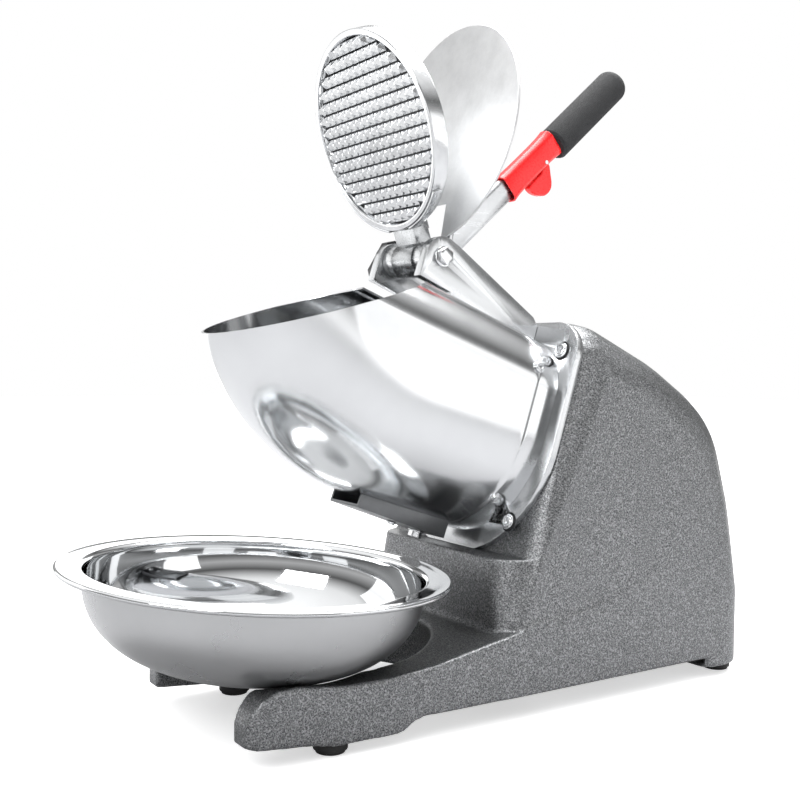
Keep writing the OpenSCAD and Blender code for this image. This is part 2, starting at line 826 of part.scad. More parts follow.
module uncut_body() {
    difference() {
        intersection() {
            hump_shape(0);
            union() {
                translate([-150, -200, belly_z]) cube([300, 600, 400]);
                for (side = [-1, 1]) translate([side * 68, 234, foot_h]) linear_extrude(20)
                    rounded_square(44, 56, 10);
            }
            bezel_prism();
        }
        flank_cut();
    }
    intersection() {
        rotate([90, 0, 90]) translate([0, 0, -100]) linear_extrude(200) arm_profile();
        linear_extrude(200) arm_plan();
        translate([-150, tip_y - 10, 0]) cube([300, 400, 200]);
    }
    nose();
}

boss_places = [[-77, 70], [77, 70], [-77, 192], [77, 192]];

module body_cavity() {
    difference() {
        intersection() {
            hump_shape(body_wall);
            translate([-150, -200, belly_z - 6]) cube([300, 600, 400]);
            drum(body_u + body_wall) translate([-150, -100, 0]) cube([300, 600, 400]);
        }
        front_chamfer(body_wall);
        for (p = boss_places) translate([p[0], p[1], belly_z + 1.6]) cylinder(r = 9, h = 40);
        for (side = [-1, 1]) translate([side * 66, 240, 0]) cylinder(r = 10, h = 34);
    }
    translate([-body_half + 12, 20, belly_z - 6]) cube([2 * body_half - 24, 50, 82]);
}

module body_casting() {
    color(hammertone) difference() {
        body_solid();
        bowl_seat();
        body_cavity();
        on_motor(0) cylinder(r = 24 + snug, h = body_u + 30);
        drum(plate_u - 30) translate([-60, 100, 0]) cube([120, 87 + snug, 30 + plate_t]);
        plate_screw_places() cylinder(r = 3.05, h = 60, center = true);
        motor_screw_places() cylinder(r = 7.1, h = 60, center = true);
        foot_places() cylinder(r = 2.55, h = 50, center = true);
        cover_screw_places() cylinder(r = 2.05, h = 60, center = true);
        translate([-44, rear_y - 30, 30]) cube([28, 60, 20]);
        translate([25, rear_y - 30, 40]) rotate([-90, 0, 0]) cylinder(r = 9, h = 60);
    }
}

module foot_places() {
    for (x = [-70, 70]) {
        translate([x, -117, 0]) children();
        translate([x, 240, 0]) children();
    }
}

module rubber_feet() {
    color(rubber) foot_places() difference() {
        union() {
            cylinder(r = 9.5, h = foot_h - 0.1);
            translate([0, 0, 2]) cylinder(r = 11, h = foot_h - 2.1);
        }
        translate([0, 0, -1]) cylinder(r = 5, h = 3.5);
        translate([0, 0, -1]) cylinder(r = 2.55, h = 20);
    }
}

module foot_screws() {
    color(bright) foot_places() translate([0, 0, 2.4]) mirror([0, 0, 1]) screw(4.5, 1.6, 2.5, 16);
}

module cover_screw_places() {
    for (p = boss_places) translate([p[0], p[1], belly_z]) children();
}

// A flat sheet with air slots that closes the casting from below.
module bottom_cover() {
    color("#6d7073") difference() {
        translate([0, 131, belly_z]) linear_extrude(1.5) rounded_square(2 * body_half - 11, 166,
            12);
        translate([-74, 206, 0]) cube([148, 40, 40]);
        cover_screw_places() cylinder(r = 2.1, h = 40, center = true);
        for (x = [-40:16:40], y = [110, 150]) translate([x, y, 0]) cube([4, 24, 60], true);
    }
}

module bottom_cover_screws() {
    color(bright) cover_screw_places() mirror([0, 0, 1]) translate([0, 0, 0.1])
        screw(3.8, 1.8, 2, 10);
}

// ---- Rear fittings -------------------------------------------------------------------------

rocker_tilt = -10;         // the rocker's rest position
gland_out = 3.37;          // how far the gland stands out of the rear wall

// Rocker frame: x along the rocker's axis, y out of the rear wall, z up.
module switch_frame() {
    translate([-30, rear_y - 7, 40]) children();
}

module power_switch() {
    color("#202124") difference() {
        union() {
            translate([-43.9, rear_y - 26, 30.1]) cube([27.8, 26.2, 19.8]);
            translate([-46, rear_y + 0.1, 27.5]) cube([32, 2, 25]);
        }
        switch_frame() translate([-11.4, -5, -9.4]) cube([22.8, 20, 18.8]);
    }
}

module switch_rocker() {
    color(red) switch_frame() rotate([rocker_tilt, 0, 0]) rotate([90, 0, 90])
        translate([0, 0, -11]) linear_extrude(22)
            polygon([[-3, -3.5], [3, -8], [8.5, -7.6], [7.2, -4], [6.7, 0], [7.2, 4],
                [8.5, 7.6], [3, 8], [-3, 3.5]]);
}

module cord_gland() {
    color(rubber) translate([25, rear_y, 40]) rotate([-90, 0, 0]) difference() {
        union() {
            cylinder(r = 12, h = 1.6);
            translate([0, 0, -8]) cylinder(r = 8.9, h = 9);
            cylinder(r1 = 8.4, r2 = 6.5, h = gland_out);
        }
        translate([0, 0, -20]) cylinder(r = 3.6, h = 60);
    }
}

// ---- Bowl ----------------------------------------------------------------------------------

bowl_pitch = -3;           // the bowl's rim dips a little towards the front
bowl_roll = 1.4;
bowl_well = 113;

module bowl_frame() {
    translate([0, bowl_y, bowl_z]) rotate([bowl_pitch, bowl_roll, 0]) children();
}

// Points down the bowl's side from its rim to its flat foot, grown outwards.
function bowl_curve(grow) = [for (a = [0:6:90])
    [max(0, (bowl_well + grow) * pow(cos(a), 0.8)), -(bowl_depth + grow) * pow(sin(a), 0.8)]];

module ice_bowl() {
    color(bright) bowl_frame() {
        difference() {
            rotate_extrude($fn = 120) polygon(concat([[0, 0]], bowl_curve(0)));
            rotate_extrude($fn = 120) polygon(concat([[0, 1]], [[bowl_well - bowl_wall, 1]],
                bowl_curve(-bowl_wall)));
        }
        difference() {
            translate([0, 0, -bowl_wall]) cylinder(r = bowl_r - 1.2, h = bowl_wall, $fn = 120);
            translate([0, 0, -5]) cylinder(r = bowl_well - bowl_wall, h = 10, $fn = 120);
        }
        rotate_extrude($fn = 120) translate([bowl_r - 1.5, -0.9]) circle(r = 1.5, $fn = 24);
    }
}

body_casting();
bottom_cover();
bottom_cover_screws();
rubber_feet();
foot_screws();
front_plate();
plate_screws();
hopper();
hopper_screws();
drum_ring();
outlet_tray();
tray_fasteners();
hinge_cheek_left();
hinge_cheek_right();
cheek_screws();
hinge_shaft();
shaft_nut();
hinge_bushes();
pusher_hub();
pusher_plate();
pusher_clip();
pusher_screws();
lever_bar();
handle_sleeve();
foam_grip();
trigger();
trigger_pin();
trigger_spring();
lid_plate();
lid_hinge();
nut_cap();
cutter_disc();
cutter_blades();
blade_screws();
motor_shaft();
rotor_core();
cooling_fan();
shaft_seal();
bearing_front();
bearing_rear();
motor_housing();
stator();
motor_end_bell();
motor_screws();
capacitor();
power_switch();
switch_rocker();
cord_gland();
ice_bowl();
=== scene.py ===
import json
import math
import bmesh
import bpy
import numpy as np
from mathutils import Matrix, Vector

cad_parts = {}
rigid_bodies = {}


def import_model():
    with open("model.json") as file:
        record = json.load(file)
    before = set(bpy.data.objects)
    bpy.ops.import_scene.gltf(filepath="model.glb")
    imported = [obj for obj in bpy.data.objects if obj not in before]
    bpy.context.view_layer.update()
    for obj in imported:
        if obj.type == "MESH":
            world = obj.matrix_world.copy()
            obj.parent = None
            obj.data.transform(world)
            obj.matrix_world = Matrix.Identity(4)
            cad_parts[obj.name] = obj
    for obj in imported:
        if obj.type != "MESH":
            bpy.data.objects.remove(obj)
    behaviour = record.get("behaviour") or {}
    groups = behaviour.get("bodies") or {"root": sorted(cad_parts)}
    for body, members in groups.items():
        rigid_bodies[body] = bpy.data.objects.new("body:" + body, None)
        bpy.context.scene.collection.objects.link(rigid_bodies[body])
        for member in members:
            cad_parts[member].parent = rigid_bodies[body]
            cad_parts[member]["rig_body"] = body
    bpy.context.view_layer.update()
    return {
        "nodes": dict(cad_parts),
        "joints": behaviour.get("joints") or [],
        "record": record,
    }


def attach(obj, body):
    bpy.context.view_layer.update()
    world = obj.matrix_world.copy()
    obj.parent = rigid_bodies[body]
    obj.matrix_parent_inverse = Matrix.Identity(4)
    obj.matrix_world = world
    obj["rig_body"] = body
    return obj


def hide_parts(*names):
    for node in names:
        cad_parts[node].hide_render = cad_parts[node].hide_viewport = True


# Visual model of an electric shaved ice machine, in metres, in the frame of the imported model.

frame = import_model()
nodes = frame["nodes"]
joints = {joint["name"]: joint for joint in frame["joints"]}

# ---- Dimensions shared with the design ------------------------------------------------------

HINGE = Vector(joints["lever_swing"]["pos_m"])
PUSHER_ANGLE = 109.5
LEVER_ANGLE = 41.7
DRUM_ANGLE = 252
MOUTH_ANGLE = 195.5

HOPPER_HALF = 0.073
DRUM_CENTRE = 0.1025
DRUM_TOP = 0.0245
DRUM_CORNER = 0.042
CORNER_EASE = 0.0004
ROOF_TILT = math.radians(3)
HOPPER_WALL = 0.0015
SWING_CENTRE = 0.092
SWING_U = 0.0034
MOUTH_DROP = 0.0125
SLOT_HALF = 0.038
FLAT_HALF = HOPPER_HALF + CORNER_EASE - DRUM_CORNER
BAND_WIDTH = 0.0095
SLOT_END = 0.014
OUTLET_HALF = 0.016
OUTLET_U = (0.012, 0.036)
PLATE_U = 0.097
LAP_U = PLATE_U - 0.0195
LAP_EASE = 0.0016
LAP_RISE = 0.0006
BEAD_RISE = 0.0010

PUSHER_R = 0.0702
PUSHER_REACH = 0.094
PUSHER_BACK = -0.004
PUSHER_FACE = 0.005
TOOTH_PITCH = 0.0086
TOOTH_H = 0.0040
TOOTH_GAP = 0.00045
TOOTH_TIP = 0.0008
RIM_W = 0.0045
RIM_H = 0.003

BAR_DROP = 0.010
SLEEVE_FROM = 0.099
SLEEVE_TO = 0.160
MOUTH_DEPTH = 0.0036
MOUTH_SHRINK = 0.86
LEVER_LENGTH = 0.250
GRIP_R = 0.013
GRIP_RAISE = 0.0025
TRIGGER_Y = 0.142
TRIGGER_Z = -BAR_DROP - 0.0064
TAB_SLOT = (TRIGGER_Y - 0.027, TRIGGER_Y + 0.006)
TAB_SLOT_HALF = 0.0036
TAB_SLOT_DEPTH = 0.0030

BOWL_R = 0.130
BOWL_WELL = 0.113
BOWL_DEPTH = 0.069
BOWL_WALL = 0.0012
BOWL_CENTRE = Vector((0, -0.1335, 0.1046))
BOWL_PITCH = -3
BOWL_ROLL = 1.4
BOWL_POWER = 0.8
LIP_TURN = -0.0009  # the inside's polish ends at this height, under the lip


def about_hinge(angle):
    """Frame on the hinge axis: y runs out from it at that angle, z square to it."""
    return Matrix.Translation(HINGE) @ Matrix.Rotation(math.radians(angle), 4, "X")


DRUM = about_hinge(DRUM_ANGLE)
PUSHER = about_hinge(PUSHER_ANGLE)
LEVER = about_hinge(LEVER_ANGLE)
BOWL = (
    Matrix.Translation(BOWL_CENTRE)
    @ Matrix.Rotation(math.radians(BOWL_ROLL), 4, "Y")
    @ Matrix.Rotation(math.radians(BOWL_PITCH), 4, "X")
)


# ---- Mesh helpers ---------------------------------------------------------------------------

def add_piece(name, bm, material, body, stands_for=(), matrix=None, smooth=True):
    """Turns a bmesh into a finished piece of the object."""
    if matrix is not None:
        bmesh.ops.transform(bm, matrix=matrix, verts=bm.verts)
    bmesh.ops.recalc_face_normals(bm, faces=bm.faces)
    mesh = bpy.data.meshes.new(name)
    bm.to_mesh(mesh)
    bm.free()
    mesh.polygons.foreach_set("use_smooth", [smooth] * len(mesh.polygons))
    mesh.materials.append(material)
    piece = bpy.data.objects.new(name, mesh)
    bpy.context.scene.collection.objects.link(piece)
    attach(piece, body)
    if stands_for:
        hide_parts(*stands_for)
    return piece


def bevel(piece, width, segments=2, angle=32):
    """Rounds the edges of a piece and keeps its flat faces flat."""
    step = piece.modifiers.new("edges", "BEVEL")
    step.width = width
    step.segments = segments
    step.limit_method = "ANGLE"
    step.angle_limit = math.radians(angle)
    step.harden_normals = True
    step.use_clamp_overlap = True
    return piece


def bake_modifiers(piece):
    """Applies every modifier of a piece to its mesh."""
    graph = bpy.context.evaluated_depsgraph_get()
    graph.update()
    done = bpy.data.meshes.new_from_object(piece.evaluated_get(graph), depsgraph=graph)
    piece.modifiers.clear()
    piece.data = done
    return piece


def bridge(bm, rings, closed):
    """Joins rows of vertices with quads."""
    for first, second in zip(rings, rings[1:]):
        count = len(first)
        for i in range(count if closed else count - 1):
            j = (i + 1) % count
            quad = []
            for vert in (first[i], first[j], second[j], second[i]):
                if vert not in quad:
                    quad.append(vert)
            if len(quad) > 2:
                bm.faces.new(quad)


def revolve(profile, segments):
    """A closed surface of revolution about z from (radius, height) points."""
    bm = bmesh.new()
    rows = []
    for radius, height in profile:
        if radius < 1e-7:
            rows.append([bm.verts.new((0, 0, height))] * segments)
        else:
            rows.append([
                bm.verts.new((
                    radius * math.cos(2 * math.pi * i / segments),
                    radius * math.sin(2 * math.pi * i / segments),
                    height,
                ))
                for i in range(segments)
            ])
    bridge(bm, rows, True)
    return bm


def arc(centre, radius, start, stop, count):
    """Points on an arc, angles in degrees."""
    return [
        (
            centre[0] + radius * math.cos(math.radians(start + (stop - start) * i / count)),
            centre[1] + radius * math.sin(math.radians(start + (stop - start) * i / count)),
        )
        for i in range(count + 1)
    ]


def smooth_outline(points, steps):
    """A closed Catmull-Rom curve through the points."""
    count = len(points)
    result = []
    for i in range(count):
        p0, p1, p2, p3 = (Vector(points[(i + k) % count]) for k in (-1, 0, 1, 2))
        for s in range(steps):
            t = s / steps
            result.append(0.5 * (
                2 * p1 + (p2 - p0) * t + (2 * p0 - 5 * p1 + 4 * p2 - p3) * t * t
                + (3 * p1 - p0 - 3 * p2 + p3) * t * t * t
            ))
    return result


def extrude_outline(points, low, high):
    """A prism between two heights over a closed outline."""
    bm = bmesh.new()
    below = [bm.verts.new((p[0], p[1], low)) for p in points]
    above = [bm.verts.new((p[0], p[1], high)) for p in points]
    bridge(bm, [below, above], True)
    bm.faces.new(below)
    bm.faces.new(above)
    return bm


def softened(node, width, material):
    """A copy of a CAD node with flat faces merged and its edges rounded."""
    bm = bmesh.new()
    bm.from_mesh(nodes[node].data)
    bmesh.ops.remove_doubles(bm, verts=bm.verts, dist=2e-6)
    bmesh.ops.dissolve_limit(
        bm, angle_limit=math.radians(0.4), verts=bm.verts, edges=bm.edges,
        use_dissolve_boundaries=False,
    )
    body = nodes[node]["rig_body"]
    piece = add_piece(node + "_edged", bm, material, body, [node])
    return bevel(piece, width)


# ---- Material helpers -----------------------------------------------------------------------

class Paint:
    """A node material under construction."""

    def __init__(self, name, colour, metallic, roughness, coat=0.0):
        self.material = bpy.data.materials.new(name)
        self.material.use_nodes = True
        self.tree = self.material.node_tree
        self.shader = self.tree.nodes["Principled BSDF"]
        self.shader.inputs["Base Color"].default_value = (*colour, 1)
        self.shader.inputs["Metallic"].default_value = metallic
        self.shader.inputs["Roughness"].default_value = roughness
        self.shader.inputs["Coat Weight"].default_value = coat
        self.last_bump = None

    def node(self, kind, **values):
        made = self.tree.nodes.new(kind)
        for key, value in values.items():
            setattr(made, key, value)
        return made

    def link(self, out, into):
        self.tree.links.new(out, into)

    def coordinates(self, scale=(1, 1, 1)):
        source = self.node("ShaderNodeTexCoord")
        mapping = self.node("ShaderNodeMapping")
        mapping.inputs["Scale"].default_value = scale
        self.link(source.outputs["Object"], mapping.inputs["Vector"])
        return mapping.outputs["Vector"]

    def noise(self, scale, detail=3, roughness=0.55, stretch=(1, 1, 1)):
        texture = self.node("ShaderNodeTexNoise")
        texture.inputs["Scale"].default_value = scale
        texture.inputs["Detail"].default_value = detail
        texture.inputs["Roughness"].default_value = roughness
        self.link(self.coordinates(stretch), texture.inputs["Vector"])
        return texture.outputs["Fac"]

    def cells(self, scale, place):
        texture = self.node("ShaderNodeTexVoronoi", feature="SMOOTH_F1")
        texture.inputs["Scale"].default_value = scale
        self.link(place, texture.inputs["Vector"])
        return texture.outputs["Distance"]

    def ramp(self, value, stops):
        made = self.node("ShaderNodeValToRGB")
        band = made.color_ramp
        while len(band.elements) < len(stops):
            band.elements.new(0.5)
        for element, (place, shade) in zip(band.elements, stops):
            element.position = place
            element.color = (*shade, 1) if isinstance(shade, tuple) else (shade, shade, shade, 1)
        self.link(value, made.inputs["Fac"])
        return made.outputs["Color"]

    def spread(self, value, low, high, start=0.0, stop=1.0):
        made = self.node("ShaderNodeMapRange")
        made.inputs["From Min"].default_value = start
        made.inputs["From Max"].default_value = stop
        made.inputs["To Min"].default_value = low
        made.inputs["To Max"].default_value = high
        self.link(value, made.inputs["Value"])
        return made.outputs["Result"]

    def colour(self, out):
        self.link(out, self.shader.inputs["Base Color"])

    def rough(self, out):
        self.link(out, self.shader.inputs["Roughness"])

    def bump(self, height, strength, distance):
        made = self.node("ShaderNodeBump")
        made.inputs["Strength"].default_value = strength
        made.inputs["Distance"].default_value = distance
        self.link(height, made.inputs["Height"])
        if self.last_bump is not None:
            self.link(self.last_bump, made.inputs["Normal"])
        self.last_bump = made.outputs["Normal"]
        self.link(self.last_bump, self.shader.inputs["Normal"])


def polished_steel(name, colour, rough, grain=(1, 1, 1), line=0.03):
    """Sheet steel with faint rolling lines and a slightly uneven polish."""
    paint = Paint(name, colour, 1.0, rough[0])
    fine = paint.noise(900, 2, 0.5, grain)
    broad = paint.noise(22, 4, 0.6)
    paint.rough(paint.spread(broad, rough[0], rough[1], 0.3, 0.7))
    paint.bump(fine, line, 0.0002)
    paint.bump(broad, 0.04, 0.0008)
    darker = tuple(c * 0.93 for c in colour)
    paint.colour(paint.ramp(broad, [(0.3, darker), (0.7, colour)]))
    return paint.material


def satin_steel(name, colour, rough, grain=(1, 1, 1)):
    """Brushed steel: long fine scratches and a soft sheen."""
    paint = Paint(name, colour, 1.0, rough[0])
    fine = paint.noise(700, 3, 0.6, grain)
    paint.rough(paint.spread(fine, rough[0], rough[1], 0.25, 0.75))
    paint.bump(fine, 0.10, 0.0002)
    darker = tuple(c * 0.86 for c in colour)
    paint.colour(paint.ramp(paint.noise(60, 5, 0.65), [(0.3, darker), (0.7, colour)]))
    return paint.material


def hammertone(name):
    """Hammered grey enamel: cells about 1.5 mm across, coloured by the height of their relief, with
    painted highlights on the crowns and painted shade between.
    """
    paint = Paint(name, (0.30, 0.31, 0.32), 0.90, 0.36)
    base = paint.coordinates()
    wobble = paint.node("ShaderNodeTexNoise")
    wobble.inputs["Scale"].default_value = 700
    wobble.inputs["Detail"].default_value = 2
    paint.link(base, wobble.inputs["Vector"])
    shift = paint.node("ShaderNodeVectorMath", operation="MULTIPLY_ADD")
    shift.inputs[1].default_value = (0.0012, 0.0012, 0.0012)
    paint.link(wobble.outputs["Color"], shift.inputs[0])
    paint.link(base, shift.inputs[2])
    cells = paint.cells(1050, shift.outputs["Vector"])
    grain = paint.noise(1900, 2, 0.6)
    mixed = paint.node("ShaderNodeMath", operation="ADD")
    paint.link(paint.spread(cells, 0.0, 0.6, 0.1, 0.7), mixed.inputs[0])
    paint.link(paint.spread(grain, 0.0, 0.4, 0.3, 0.7), mixed.inputs[1])
    # Painted light: the colour rises with the bump's height, so the hollows carry painted shade and
    # the high points painted highlights.
    paint.colour(paint.ramp(mixed.outputs["Value"], [
        (0.15, (0.030, 0.032, 0.034)),
        (0.40, (0.135, 0.138, 0.142)),
        (0.62, (0.230, 0.235, 0.240)),
        (0.85, (0.380, 0.385, 0.390)),
    ]))
    paint.rough(paint.spread(grain, 0.26, 0.40, 0.3, 0.7))
    paint.bump(mixed.outputs["Value"], 0.45, 0.0005)
    return paint.material


def soft_plastic(name, colour, roughness, grain, strength, distance, coat=0.0):
    """Moulded plastic or rubber with a fine skin."""
    paint = Paint(name, colour, 0.0, roughness, coat)
    skin = paint.noise(grain, 3, 0.6)
    paint.bump(skin, strength, distance)
    paint.rough(paint.spread(skin, roughness * 0.85, min(1.0, roughness * 1.15), 0.3, 0.7))
    lighter = tuple(min(1.0, c * 1.12) for c in colour)
    darker = tuple(c * 0.9 for c in colour)
    paint.colour(paint.ramp(paint.noise(45, 3), [(0.35, darker), (0.65, lighter)]))
    return paint.material


def cast_metal(name, colour, rough, grain=900, strength=0.2):
    """Cast or machined metal with a grainy skin."""
    paint = Paint(name, colour, 1.0, rough[0])
    skin = paint.noise(grain, 4, 0.65)
    paint.rough(paint.spread(skin, rough[0], rough[1], 0.3, 0.7))
    paint.bump(skin, strength, 0.0002)
    darker = tuple(c * 0.8 for c in colour)
    paint.colour(paint.ramp(paint.noise(80, 4), [(0.3, darker), (0.7, colour)]))
    return paint.material


def wound_copper(name):
    """Enamelled wire: fine parallel turns, with painted shade between them and painted highlights on
    their crowns.
    """
    paint = Paint(name, (0.42, 0.17, 0.06), 0.9, 0.35)
    wave = paint.node("ShaderNodeTexWave", wave_type="BANDS", bands_direction="Z")
    wave.inputs["Scale"].default_value = 400
    wave.inputs["Distortion"].default_value = 0.6
    paint.link(paint.coordinates(), wave.inputs["Vector"])
    paint.bump(wave.outputs["Fac"], 0.6, 0.0004)
    # Painted light: the colour follows the bump's bands, dark in the grooves between turns and
    # bright on their crowns.
    turns = [(0.1, (0.20, 0.07, 0.02)), (0.8, (0.50, 0.22, 0.08))]
    paint.colour(paint.ramp(wave.outputs["Fac"], turns))
    return paint.material


# ---- Materials ------------------------------------------------------------------------------

slots = {row["node"]: row["material_slot"] for row in frame["record"]["subparts"]}
finish = {
    "hammertone": hammertone("hammertone_enamel"),
    "zinc_sheet": satin_steel("zinc_sheet", (0.42, 0.43, 0.44), (0.32, 0.46)),
    "screw_steel": polished_steel("bright_screws", (0.72, 0.73, 0.74), (0.10, 0.22)),
    "plate_steel": polished_steel("plate_steel", (0.60, 0.61, 0.62), (0.20, 0.30), (0.15, 1, 1)),
    "hopper_steel": polished_steel("hopper_steel", (0.66, 0.67, 0.68), (0.14, 0.20), (0.06, 1, 1)),
    "tray_steel": satin_steel("tray_steel", (0.17, 0.175, 0.18), (0.30, 0.45)),
    "bronze": cast_metal("bush_bronze", (0.50, 0.30, 0.12), (0.30, 0.45)),
    "hub_aluminium": cast_metal("hub_metal", (0.50, 0.51, 0.52), (0.22, 0.32), 1200, 0.05),
    "pusher_aluminium": cast_metal("pusher_metal", (0.74, 0.75, 0.76), (0.12, 0.22), 900, 0.06),
    "lever_steel": satin_steel("lever_steel", (0.58, 0.59, 0.60), (0.24, 0.36), (1, 0.05, 1)),
    "red_plastic": soft_plastic("red_gloss", (0.74, 0.005, 0.006), 0.28, 500, 0.03, 0.0003, 0.15),
    "grip_foam": soft_plastic("grip_foam", (0.014, 0.0145, 0.016), 0.8, 1500, 0.9, 0.0006),
    "foot_rubber": soft_plastic("foot_rubber", (0.014, 0.014, 0.014), 0.6, 900, 0.2, 0.0002),
    "black_plastic": soft_plastic("black_plastic", (0.018, 0.018, 0.020), 0.35, 700, 0.10, 0.0002),
    "lid_steel": satin_steel("lid_steel", (0.74, 0.745, 0.75), (0.42, 0.55), (1, 0.04, 1)),
    "iron_core": cast_metal("core_iron", (0.20, 0.19, 0.18), (0.45, 0.60)),
    "winding": wound_copper("enamelled_winding"),
    "motor_paint": cast_metal("motor_shell", (0.30, 0.31, 0.32), (0.40, 0.55), 500, 0.3),
    "capacitor_can": soft_plastic("capacitor_can", (0.62, 0.62, 0.58), 0.4, 300, 0.05, 0.0002),
    "bowl_steel": polished_steel("bowl_outside", (0.44, 0.445, 0.45), (0.26, 0.32), (1, 1, 0.08)),
}
bowl_inside = polished_steel("bowl_inside", (0.74, 0.75, 0.76), (0.03, 0.07), (1, 1, 0.1), 0.01)
# Painted shade: near-black metal laid where shade falls, in the valleys between the pusher's teeth
# and in the front plate's screw counterbores.
painted_shade_metal = cast_metal("painted_shade", (0.05, 0.05, 0.052), (0.4, 0.5))

for node_name, node_object in nodes.items():
    node_object.data.materials.clear()
    node_object.data.materials.append(finish[slots[node_name]])
    node_object.data.polygons.foreach_set("use_smooth", [False] * len(node_object.data.polygons))


# ---- Body -----------------------------------------------------------------------------------

# (y, z) along the flank's front crease and along the crease above the arm
FRONT_CREASE = [(0.019, 0.066), (0.0975, 0.2345)]
ARM_CREASE = [
    (0.019, 0.064), (0.042, 0.064), (0.061, 0.0645), (0.080, 0.0670), (0.105, 0.0725),
    (0.136, 0.0835), (0.157, 0.0945), (0.179, 0.1115), (0.192, 0.126),
]

FRONT_RIDGE = (0.0020, 0.0045)  # height, width
ARM_RIDGE = (0.0013, 0.0026)
BODY_HALF = 0.0899
FLANK_FROM = 0.080  # the flanks lie further out than this


def distance_to_line(points, line):
    """Shortest distance from each point to a polyline, and how far along it that is, 0 to 1."""
    best = np.full(len(points), 1.0)
    place = np.zeros(len(points))
    for i, (start, stop) in enumerate(zip(line, line[1:])):
        step = np.subtract(stop, start)
        along = np.clip((points - start) @ step / (step @ step), 0, 1)
        gap = np.linalg.norm(points - start - along[:, None] * step, axis=1)
        nearer = gap < best
        best[nearer] = gap[nearer]
        place[nearer] = (i + along[nearer]) / (len(line) - 1)
    return best, place


def raise_creases(mesh):
    """Draws the flank's two creases out into soft ridges."""
    places = np.empty(3 * len(mesh.vertices))
    normals = np.empty(3 * len(mesh.vertices))
    mesh.vertices.foreach_get("co", places)
    mesh.vertices.foreach_get("normal", normals)
    places, normals = places.reshape(-1, 3), normals.reshape(-1, 3)
    x = places[:, 0]
    front, _ = distance_to_line(places[:, 1:], FRONT_CREASE)
    arm, along = distance_to_line(places[:, 1:], ARM_CREASE)
    lift = np.maximum(
        FRONT_RIDGE[0] * np.exp(-(front / FRONT_RIDGE[1]) ** 2),
        ARM_RIDGE[0] * (1 - along ** 3) * np.exp(-(arm / ARM_RIDGE[1]) ** 2),
    )
    lift = np.minimum(lift, np.maximum(0, BODY_HALF - np.abs(x)))
    flank = (np.abs(x) > FLANK_FROM) & (places[:, 1] > 0.005) & (np.abs(normals[:, 0]) > 0.6)
    x += np.where(flank, np.sign(x) * lift, 0)
    mesh.vertices.foreach_set("co", places.ravel())
    mesh.update()


def build_body():
    """The casting, remeshed finely so that every crease gets the soft radius of a mould."""
    mesh = nodes["body_casting"].data.copy()
    piece = bpy.data.objects.new("body_shell", mesh)
    bpy.context.scene.collection.objects.link(piece)
    remesh = piece.modifiers.new("skin", "REMESH")
    remesh.mode = "VOXEL"
    remesh.voxel_size = 0.0014
    relax = piece.modifiers.new("relax", "SMOOTH")
    relax.factor = 0.5
    relax.iterations = 7
    bake_modifiers(piece)
    raise_creases(piece.data)
    piece.data.polygons.foreach_set("use_smooth", [True] * len(piece.data.polygons))
    piece.data.materials.clear()
    piece.data.materials.append(finish["hammertone"])
    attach(piece, "machine")
    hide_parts("body_casting")
    return piece


# ---- Hopper ---------------------------------------------------------------------------------

def roof_height(x):
    """Depth of the roof's rounded corner below its flat middle, at a place across the drum."""
    over = abs(x) - FLAT_HALF
    if over <= 0:
        return 0.0
    return DRUM_CORNER - math.sqrt(max(0.0, DRUM_CORNER ** 2 - over ** 2))


def hopper_stations():
    """(swing angle, distance along the drum) from beyond the mouth to the plate."""
    sweep = [(math.radians(80 * (1 - i / 96)), SWING_U) for i in range(97)]
    straight_from = [SWING_U, SLOT_END, LAP_U, LAP_U + LAP_EASE, PLATE_U - 0.0001]
    counts = [6, 24, 4, 12]
    run = []
    for start, stop, count in zip(straight_from, straight_from[1:], counts):
        run += [(0.0, start + (stop - start) * (i + 1) / count) for i in range(count)]
    return sweep + run


def hopper_point(x, rho, theta, u):
    """A point on the hopper, in the drum's frame; rho is measured from the front curve's axis."""
    s = DRUM_CENTRE - SWING_CENTRE + rho * math.cos(theta)
    return Vector((x, s, u - rho * math.sin(theta)))


def roof_rho(x, theta, u):
    """Where the roof cuts a ray, as a distance from the front curve's axis."""
    start = DRUM_CENTRE - SWING_CENTRE - DRUM_TOP
    top = roof_height(x) + u * math.sin(ROOF_TILT) - start * math.cos(ROOF_TILT)
    return top / math.cos(theta - ROOF_TILT)


def hopper_half_row(theta, u):
    """(x, rho) points from the slot's edge round the right side to the bottom."""
    first = math.asin((SLOT_HALF - FLAT_HALF) / DRUM_CORNER)
    last = math.asin((HOPPER_HALF - FLAT_HALF) / DRUM_CORNER)
    row = []
    for i in range(73):
        x = FLAT_HALF + DRUM_CORNER * math.sin(first + (last - first) * i / 72)
        row.append((x, roof_rho(x, theta, u)))
    side_top = row[-1][1]
    for i in range(1, 13):
        row.append((HOPPER_HALF, side_top + (SWING_CENTRE - side_top) * i / 12))
    for i in range(1, 31):
        turn = math.radians(90 * i / 30)
        row.append((HOPPER_HALF * math.cos(turn), SWING_CENTRE + HOPPER_HALF * math.sin(turn)))
    return row


